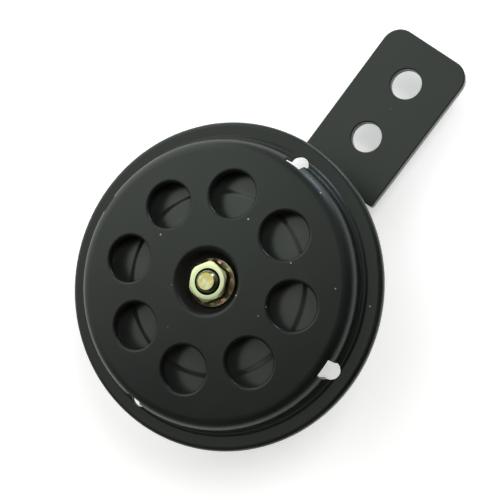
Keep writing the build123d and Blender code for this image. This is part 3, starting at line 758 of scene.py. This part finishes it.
@dataclass(frozen=True)
class FlangeNut:
    """Hexagon nut with a coned flange, a chamfered crown and a countersunk mouth."""

    across_flats: float = 10.0
    flange_d: float = 13.4
    flange_edge: float = 1.1
    flange_slope: float = 0.64
    crown_d: float = 9.5
    chamfer_angle: float = 28.0
    mouth_d: float = 7.2
    bore_d: float = 6.16
    first_corner: float = -1.6  # angle of a corner, in degrees
    corner_r: float = 0.35

    def build(self, name: str, seat: float, top: float, columns: int = 240) -> bpy.types.Object:
        """Make the nut between two heights.

        Round the axis the hexagon's radius is half the width across flats over the cosine of the
        angle from the middle of the nearest flat, less a little near a corner; the radius runs
        along the profile from the bore over the seat, the flange's edge and cone, up the flats,
        over the chamfer, whose drop is its reach times the tangent of its angle, across the end
        face and down the countersink.

        Args:
            name: the object's name.
            seat: height of the seat, in millimetres.
            top: height of the end face, in millimetres.
            columns: steps round the nut.

        Returns:
            The new object.
        """
        angle = np.linspace(0.0, 2 * math.pi, columns, endpoint=False)
        sixth = math.pi / 3
        off_flat = (angle - math.radians(self.first_corner)) % sixth - sixth / 2
        flat = self.across_flats / 2
        hexagon = np.minimum(flat / np.cos(off_flat), flat / math.cos(sixth / 2) - self.corner_r)
        crown, mouth, bore = self.crown_d / 2, self.mouth_d / 2, self.bore_d / 2
        flange = self.flange_d / 2
        cone = seat + self.flange_edge
        rise = self.flange_slope / (flange - flat)
        drop = (hexagon - crown) * math.tan(math.radians(self.chamfer_angle))
        edge = 0.18
        even = np.ones(columns)
        rows = [
            (seat * even, bore * even),
            (seat * even, (flange - edge) * even),
            ((seat + edge) * even, flange * even),
            ((cone - edge) * even, flange * even),
            ((cone + edge * rise) * even, (flange - edge) * even),
            (cone + (flange - hexagon - 0.3) * rise, hexagon + 0.3),
            (cone + (flange - hexagon) * rise + 0.2, hexagon),
            (top - drop, hexagon),
            ((top - 0.03) * even, crown * even),
            (top * even, (crown - 0.12) * even),
            (top * even, mouth * even),
            ((top - (mouth - bore)) * even, bore * even),
        ]
        heights = np.array([h for h, _ in rows])
        radii = np.array([r for _, r in rows])
        points = about_axis(heights, radii, np.tile(angle, (len(rows), 1)))
        return face_up(ring_mesh(name, points), 26.0)


@dataclass(frozen=True)
class Diaphragm:
    """Thin spring disc whose centre is pressed forwards over a soft round step."""

    step_r: float = 24.97
    step_width: float = 1.8
    rise: float = 0.4
    thickness: float = 0.4

    def build(
        self, name: str, back: float, hole_r: float, outer_r: float, columns: int = 192
    ) -> bpy.types.Object:
        """Make the disc.

        At radius r the front lies at the back's height plus the thickness, plus the rise times a
        smooth step that falls from 1 to 0 across the step's width; the back follows it.

        Args:
            name: the object's name.
            back: height of the outer part's back, in millimetres.
            hole_r: radius of the stud's hole, in millimetres.
            outer_r: outer radius, in millimetres.
            columns: steps round the disc.

        Returns:
            The new object.
        """
        inner, outer = self.step_r - self.step_width / 2, self.step_r + self.step_width / 2
        radii = np.concatenate([[hole_r], np.linspace(inner, outer, 13), [outer_r]])
        part = np.clip((radii - inner) / self.step_width, 0.0, 1.0)
        lift = back + self.rise * (1.0 - part * part * (3.0 - 2.0 * part))
        heights = np.concatenate([lift, lift[::-1] + self.thickness])
        both = np.concatenate([radii, radii[::-1]])
        angle = np.linspace(0.0, 2 * math.pi, columns, endpoint=False)
        across, round_ = np.meshgrid(both, angle, indexing="ij")
        points = about_axis(np.repeat(heights[:, None], columns, 1), across, round_)
        return face_up(ring_mesh(name, points), 30.0)


# ------------------------------------------------------------------------------ sub-assemblies
@dataclass
class SubAssembly:
    """A group of the horn's nodes on one body, with the finish of each."""

    frame: dict
    body: str
    finishes: dict[str, object] = field(default_factory=dict)

    def dress(self) -> None:
        """Give every node of the group its finish, one material for each distinct finish."""
        ready: dict[object, bpy.types.Material] = {}
        for node, finish in self.finishes.items():
            if finish not in ready:
                ready[finish] = finish.material()
            target = self.frame["nodes"][node]
            for slot in target.material_slots:
                slot.material = ready[finish]
            LOG.info("%s: %s", node, finish.name)

    def add(
        self, piece: bpy.types.Object, finish: object, slot: str, *replaced: str
    ) -> bpy.types.Object:
        """Make a new piece ride on the group's body, in its finish.

        Args:
            piece: the new object.
            finish: the finish it gets.
            slot: the record's material slot; not used.
            replaced: nodes that it stands for.

        Returns:
            The piece.
        """
        piece.data.materials.append(finish.material())
        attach(piece, self.body)
        if replaced:
            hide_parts(*replaced)
        LOG.info("%s: new piece on %s", piece.name, self.body)
        return piece


ZINC = Metal("bright_zinc", (0.60, 0.61, 0.62), (0.48, 0.49, 0.50), (0.26, 0.40), marks=0.25)
PASSIVATE = YellowPassivate()
SPRING = DarkSteel()
IRON = Metal("turned_iron", (0.36, 0.35, 0.34), (0.24, 0.21, 0.18), (0.34, 0.50), marks=0.18)
LEAF_STEEL = Metal(
    "rolled_spring_steel", (0.44, 0.45, 0.46), (0.33, 0.34, 0.36), brushed=(0.1, 1.0, 1.0)
)
BRASS = Metal(
    "rolled_brass", (0.74, 0.56, 0.26), (0.52, 0.36, 0.15), (0.26, 0.40), brushed=(1.0, 0.1, 1.0)
)
TUNGSTEN = Metal("ground_tungsten", (0.50, 0.50, 0.52), (0.38, 0.38, 0.40), (0.22, 0.34))
NYLON = Moulding("natural_nylon", (0.72, 0.69, 0.58), (0.80, 0.77, 0.68), 0.42)
LAMINATE = Moulding("paper_laminate", (0.16, 0.070, 0.028), (0.24, 0.115, 0.05), 0.40, layer=0.16)
GASKET = Moulding("gasket_card", (0.055, 0.048, 0.042), (0.10, 0.088, 0.074), 0.75)
VARNISH = Varnish()


@dataclass
class VibratingGroup(SubAssembly):
    """Resonator disc, the nut and stud that hold it, and the armature behind them."""

    stud: Thread = Thread(6.0, 1.0)
    tip_chamfer: float = 0.75
    nut: FlangeNut = FlangeNut()
    specks: tuple[tuple[float, float, float], ...] = (
        (-18.62, -64.42, 0.3),
        (-1.09, -46.43, 0.3),
        (15.18, -48.49, 0.22),
        (8.84, -63.97, 0.24),
        (28.23, -46.66, 0.22),
        (9.59, -29.72, 0.22),
        (36.54, -45.47, 0.25),
    )

    def build(self) -> None:
        """Dress the nodes, cut the stud's thread and form the nut."""
        seat, top = (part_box("flange_nut")[k].y for k in (1, 0))
        seat, top = (BRIM_Y - seat) / MM, (BRIM_Y - top) / MM
        low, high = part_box("centre_stud")
        back, tip = (BRIM_Y - high.y) / MM, (BRIM_Y - low.y) / MM
        nut_finish = YellowPassivate("nut_passivate", top, painted_shade_mouth_r=self.nut.mouth_d / 2)
        rod_finish = YellowPassivate(
            "stud_passivate",
            tip,
            (0.62, 0.57, 0.19),
            painted_shade_thread_r=self.stud.diameter / 2 - self.tip_chamfer,
        )
        self.finishes = {
            "resonator_disc": SatinPaint("disc_paint", well_r=8.7, specks=self.specks),
            "flange_nut": nut_finish,
            "centre_stud": rod_finish,
            "spacer_washer": ZINC,
            "backing_washer": ZINC,
            "armature": IRON,
        }
        self.dress()
        rod = shank(
            "centre_stud_thread",
            [(back, self.stud.diameter / 2 - self.tip_chamfer)],
            self.stud,
            (back, tip),
            self.tip_chamfer,
        )
        self.add(rod, rod_finish, "yellow_zinc", "centre_stud")
        formed = self.nut.build("flange_nut_formed", seat, top)
        self.add(formed, nut_finish, "yellow_zinc", "flange_nut")


@dataclass
class Housing(SubAssembly):
    """Crimped cup, clamp ring, gaskets and diaphragm."""

    disc: Diaphragm = Diaphragm()
    stud_hole_r: float = 3.1

    def build(self) -> None:
        """Dress the nodes and form the diaphragm's step."""
        cup = SatinPaint("cup_paint", sheen=0.44)
        self.finishes = {
            "housing_cup": cup,
            "clamp_ring": SatinPaint("clamp_ring_paint", sheen=0.26, peel=0.004),
            "front_gasket": GASKET,
            "rear_gasket": GASKET,
            "diaphragm": SPRING,
        }
        self.dress()
        low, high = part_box("diaphragm")
        formed = self.disc.build(
            "diaphragm_formed", (BRIM_Y - high.y) / MM, self.stud_hole_r, (high.x - low.x) / 2 / MM
        )
        self.add(formed, SPRING, "spring_steel", "diaphragm")


@dataclass
class Electromagnet(SubAssembly):
    """Pole core with its threaded shank, bobbin and winding."""

    shank_thread: Thread = Thread(8.0, 1.25)
    core_d: float = 14.0
    core_chamfer: float = 0.3
    overlap: float = 0.02  # of the thread into the core, which shuts the seam
    tip_chamfer: float = 0.75

    def build(self) -> None:
        """Dress the nodes and cut the shank's thread."""
        self.finishes = {"pole_core": IRON, "coil_bobbin": NYLON, "coil_winding": EnamelledWire()}
        self.dress()
        low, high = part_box("pole_core")
        front, tip = (BRIM_Y - low.y) / MM, (BRIM_Y - high.y) / MM
        floor = (BRIM_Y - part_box("coil_bobbin")[1].y) / MM
        half, shoulder = self.core_d / 2, self.shank_thread.diameter / 2
        core = shank(
            "pole_core_thread",
            [
                (front, half - self.core_chamfer),
                (front - self.core_chamfer, half),
                (floor, half),
                (floor, shoulder),
            ],
            self.shank_thread,
            (floor - self.overlap, tip),
            self.tip_chamfer,
        )
        self.add(core, ZINC, "soft_iron", "pole_core")


@dataclass
class ContactSet(SubAssembly):
    """Post, insulated stack, leaf, arm and their contacts."""

    def build(self) -> None:
        """Dress the nodes."""
        self.finishes = {
            "contact_post": ZINC,
            "lower_insulator": LAMINATE,
            "middle_insulator": LAMINATE,
            "upper_insulator": LAMINATE,
            "moving_contact_leaf": LEAF_STEEL,
            "fixed_contact_arm": BRASS,
            "stack_clamp_plate": ZINC,
            "stack_rivets": BRASS,
            "moving_contact": TUNGSTEN,
            "fixed_contact": TUNGSTEN,
            "contact_pusher": LAMINATE,
        }
        self.dress()


@dataclass
class Adjuster(SubAssembly):
    """Adjusting screw in its bush, with lock nut and varnish."""

    off_centre: tuple[float, float] = (2.4, -1.9)  # of the varnish on the screw, x and z
    sunk: float = 0.15  # of the varnish below the screw's end

    def build(self) -> None:
        """Dress the nodes and add the varnish that seals the screw."""
        low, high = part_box("adjusting_screw")
        place = ((low.x + high.x) / 2 / MM, (low.z + high.z) / 2 / MM)
        turned = Metal(
            "screw_zinc", (0.60, 0.61, 0.62), (0.46, 0.47, 0.49), marks=0.3, marks_about=place
        )
        self.finishes = {"adjuster_bush": BRASS, "adjuster_lock_nut": turned}
        self.finishes["adjusting_screw"] = turned
        self.dress()
        x, z = ((p + off) * MM for p, off in zip(place, self.off_centre))
        centre = Vector((x, high.y - self.sunk * MM, z))
        self.add(dab("varnish_dab", centre, 3.4, 0.35, 7), VARNISH, "laminate")


@dataclass
class Terminals(SubAssembly):
    """Insulating block and the two riveted blades."""

    def build(self) -> None:
        """Dress the nodes."""
        tinned = Metal(
            "tinned_brass", (0.66, 0.64, 0.58), (0.50, 0.46, 0.36), brushed=(1.0, 0.12, 1.0)
        )
        self.finishes = {
            "terminal_block": LAMINATE,
            "inner_insulator": LAMINATE,
            "live_terminal": tinned,
            "earth_terminal": tinned,
            "live_terminal_rivet": BRASS,
            "earth_terminal_rivet": BRASS,
        }
        self.dress()


@dataclass
class BracketGroup(SubAssembly):
    """Bracket and what clamps it to the horn."""

    def build(self) -> None:
        """Dress the nodes."""
        self.finishes = {
            "bracket": SatinPaint(
                "bracket_paint", (0.0125, 0.0150, 0.0125), (0.0160, 0.0190, 0.0155), 0.30
            ),
            "core_nut": ZINC,
            "spring_washer": ZINC,
            "bracket_nut": ZINC,
        }
        self.dress()


# ------------------------------------------------------------------------------ studio
@dataclass(frozen=True)
class Lamp:
    """Area lamp placed by the direction it shines from, as the camera sees the horn."""

    name: str
    side: float  # to the viewer's right
    up: float
    front: float  # towards the viewer
    distance: float
    size: float
    power: float
    colour: Colour = (1.0, 1.0, 1.0)
    glossy: bool = True  # whether it shows in reflections


@dataclass
class Studio:
    """Camera, lamps, world and the white table behind the horn."""

    place: tuple[float, float, float] = (0.0800, -0.26416, -0.02432)
    turn: tuple[float, float, float] = (81.534, -36.303, 23.709)
    lens: float = 66.426
    sensor: float = 36.0
    table_gap: float = 0.0003
    table_half: float = 0.7
    painted_shadow_reach: float = 0.048  # reach of the ambient occlusion that dims the table's glow near the horn, a painted shadow, in metres
    shaded_white: float = 0.35  # what the table shows of its own in full painted shadow under the horn
    painted_shadow_depth: float = 0.13  # glow it adds where nothing is over it; the painted shadow takes it away under the horn
    bright_side: tuple[float, float, float] = (-0.17, 0.98, 0.0)
    # each slope: from and to along its direction, then the strength at either end
    tent: tuple[float, float, float, float] = (-0.33, 0.72, 0.15, 1.50)
    glow: tuple[float, float, float, float] = (-0.95, -0.45, 0.08, 0.0)
    dim: tuple[float, float, float, float] = (-0.48, 0.0, 1.0, 0.20)
    lamps: tuple[Lamp, ...] = (
        Lamp("window", 0.45, 0.88, 0.20, 0.60, 0.16, 0.9, (0.70, 0.82, 1.0)),
        Lamp("rear", 0.55, 0.35, -0.85, 0.70, 0.40, 0.8),
        Lamp("shade", 0.22, 0.40, 0.88, 0.75, 0.32, 2.5, glossy=False),
        Lamp("bounce", -0.30, -0.44, 0.85, 0.70, 0.14, 0.06, (1.0, 0.90, 0.70)),
    )

    def camera(self) -> bpy.types.Object:
        """Make the camera and use it; its place was solved from the disc, its holes and bracket."""
        data = bpy.data.cameras.new("camera")
        data.sensor_fit = "HORIZONTAL"
        data.sensor_width = self.sensor
        data.lens = self.lens
        data.clip_start, data.clip_end = 0.01, 20.0
        made = bpy.data.objects.new("camera", data)
        bpy.context.scene.collection.objects.link(made)
        made.location = self.place
        made.rotation_euler = Euler([math.radians(a) for a in self.turn], "XYZ")
        bpy.context.scene.camera = made
        bpy.context.view_layer.update()
        return made

    def light(self, camera: bpy.types.Object) -> None:
        """Hang the lamps round the horn.

        Args:
            camera: the camera whose sides give the lamps' directions.
        """
        basis = camera.matrix_world.to_3x3()
        for lamp in self.lamps:
            data = bpy.data.lights.new(lamp.name, "AREA")
            data.shape, data.size, data.energy = "DISK", lamp.size, lamp.power
            data.color = lamp.colour
            made = bpy.data.objects.new(lamp.name, data)
            bpy.context.scene.collection.objects.link(made)
            made.visible_glossy = lamp.glossy
            direction = (basis @ Vector((lamp.side, lamp.up, lamp.front))).normalized()
            made.location = HORN_CENTRE + direction * lamp.distance
            made.rotation_euler = direction.to_track_quat("Z", "Y").to_euler()

    def world(self, camera: bpy.types.Object) -> None:
        """White where it is looked at; elsewhere a soft tent.

        The tent's strength runs smoothly from low to high with the direction's share along the
        bright side, which is given by the camera's sides; far below it glows again, as over a
        white table, and to the viewer's right it is dimmer.

        Args:
            camera: the camera whose sides give the bright direction.
        """
        world = bpy.data.worlds.new("studio_world")
        bpy.context.scene.world = world
        world.use_nodes = True
        tree = world.node_tree
        tree.nodes.clear()

        def joined(operation: str, *values: Socket | float) -> Socket:
            """Result of a Math node in the world's tree."""
            made = tree.nodes.new("ShaderNodeMath")
            made.operation = operation
            for target, value in zip(made.inputs, values):
                if isinstance(value, bpy.types.NodeSocket):
                    tree.links.new(value, target)
                else:
                    target.default_value = value
            return made.outputs[0]

        direction = tree.nodes.new("ShaderNodeTexCoord").outputs["Generated"]
        basis = camera.matrix_world.to_3x3()

        def slope(side: Sequence[float], stretch: Sequence[float]) -> Socket:
            """Smooth step along a direction given by the camera's sides."""
            along = tree.nodes.new("ShaderNodeVectorMath")
            along.operation = "DOT_PRODUCT"
            tree.links.new(direction, along.inputs[0])
            along.inputs[1].default_value = (basis @ Vector(side)).normalized()
            made = tree.nodes.new("ShaderNodeMapRange")
            made.interpolation_type = "SMOOTHSTEP"
            tree.links.new(along.outputs["Value"], made.inputs["Value"])
            for key, value in zip(("From Min", "From Max", "To Min", "To Max"), stretch):
                made.inputs[key].default_value = value
            return made.outputs["Result"]

        tent = joined("ADD", slope(self.bright_side, self.tent), slope(self.bright_side, self.glow))
        tent = joined("MULTIPLY", tent, slope((1.0, 0.0, 0.0), self.dim))
        path = tree.nodes.new("ShaderNodeLightPath")
        seen = joined("MAXIMUM", path.outputs["Is Camera Ray"], path.outputs["Is Transmission Ray"])
        lit = joined("MULTIPLY", tent, joined("SUBTRACT", 1.0, seen))
        sky = tree.nodes.new("ShaderNodeBackground")
        tree.links.new(joined("ADD", seen, lit), sky.inputs["Strength"])
        output = tree.nodes.new("ShaderNodeOutputWorld")
        tree.links.new(sky.outputs[0], output.inputs["Surface"])
        sky.inputs["Color"].default_value = (1.0, 1.0, 1.0, 1.0)

    def table(self) -> None:
        """The white table that the horn lies on, upright behind it and clear from its back."""
        half, depth = self.table_half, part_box("pole_core")[1].y + self.table_gap
        corners = [
            (x, depth, HORN_CENTRE.z + z)
            for x, z in ((-half, -half), (half, -half), (half, half), (-half, half))
        ]
        made = new_piece("table", corners, [(0, 1, 2, 3)])
        made.data.materials.append(self.table_material())
        made.visible_shadow = False
        made.visible_diffuse = False

    def table_material(self) -> bpy.types.Material:
        """White card that adds its own white where it is looked at, dimmed near the horn by ambient
        occlusion as a painted shadow, and is clear from behind.
        """
        g = Graph("table_white")
        g.feed(g.shader.inputs["Base Color"], (0.90, 0.90, 0.88))
        g.shader.inputs["Roughness"].default_value = 0.9
        path = g.node("ShaderNodeLightPath")
        seen = g.math("MAXIMUM", path.outputs["Is Camera Ray"], path.outputs["Is Glossy Ray"])
        seen = g.math("MAXIMUM", seen, path.outputs["Is Transmission Ray"])
        glow = g.node("ShaderNodeEmission")
        g.feed(glow.inputs["Color"], (1.0, 1.0, 0.985))
        # painted shadow: ambient occlusion dims the table's own glow near the horn
        painted_shadow_ao = g.node("ShaderNodeAmbientOcclusion", samples=16)
        g.feed(painted_shadow_ao.inputs["Distance"], self.painted_shadow_reach)
        lit = g.math("POWER", painted_shadow_ao.outputs["AO"], 2.0)
        lit = g.math("MULTIPLY", lit, self.painted_shadow_depth)
        white = g.math("ADD", lit, self.shaded_white)
        g.feed(glow.inputs["Strength"], g.math("MULTIPLY", seen, white))
        both = g.node("ShaderNodeAddShader")
        g.feed(both.inputs[0], g.shader.outputs[0])
        g.feed(both.inputs[1], glow.outputs[0])
        side = g.node("ShaderNodeNewGeometry")
        clear = g.node("ShaderNodeBsdfTransparent")
        mix = g.node("ShaderNodeMixShader")
        g.feed(mix.inputs[0], side.outputs["Backfacing"])
        g.feed(mix.inputs[1], both.outputs[0])
        g.feed(mix.inputs[2], clear.outputs[0])
        output = next(n for n in g.tree.nodes if n.type == "OUTPUT_MATERIAL")
        g.feed(output.inputs["Surface"], mix.outputs[0])
        return g.material

    def build(self) -> None:
        """Set up everything that isn't the horn."""
        bpy.context.scene.view_settings.view_transform = "Standard"
        camera = self.camera()
        self.light(camera)
        self.world(camera)
        self.table()


def main() -> None:
    """Load the frame, dress each sub-assembly and set up the studio."""
    logging.basicConfig(level=logging.INFO, format="%(name)s: %(message)s")
    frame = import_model()
    groups: list[SubAssembly] = [
        VibratingGroup(frame, Body.MOVING.value),
        Housing(frame, Body.STILL.value),
        Electromagnet(frame, Body.STILL.value),
        ContactSet(frame, Body.STILL.value),
        Adjuster(frame, Body.STILL.value),
        Terminals(frame, Body.STILL.value),
        BracketGroup(frame, Body.STILL.value),
    ]
    for group in groups:
        group.build()
    Studio().build()


if __name__ == "__main__":
    main()
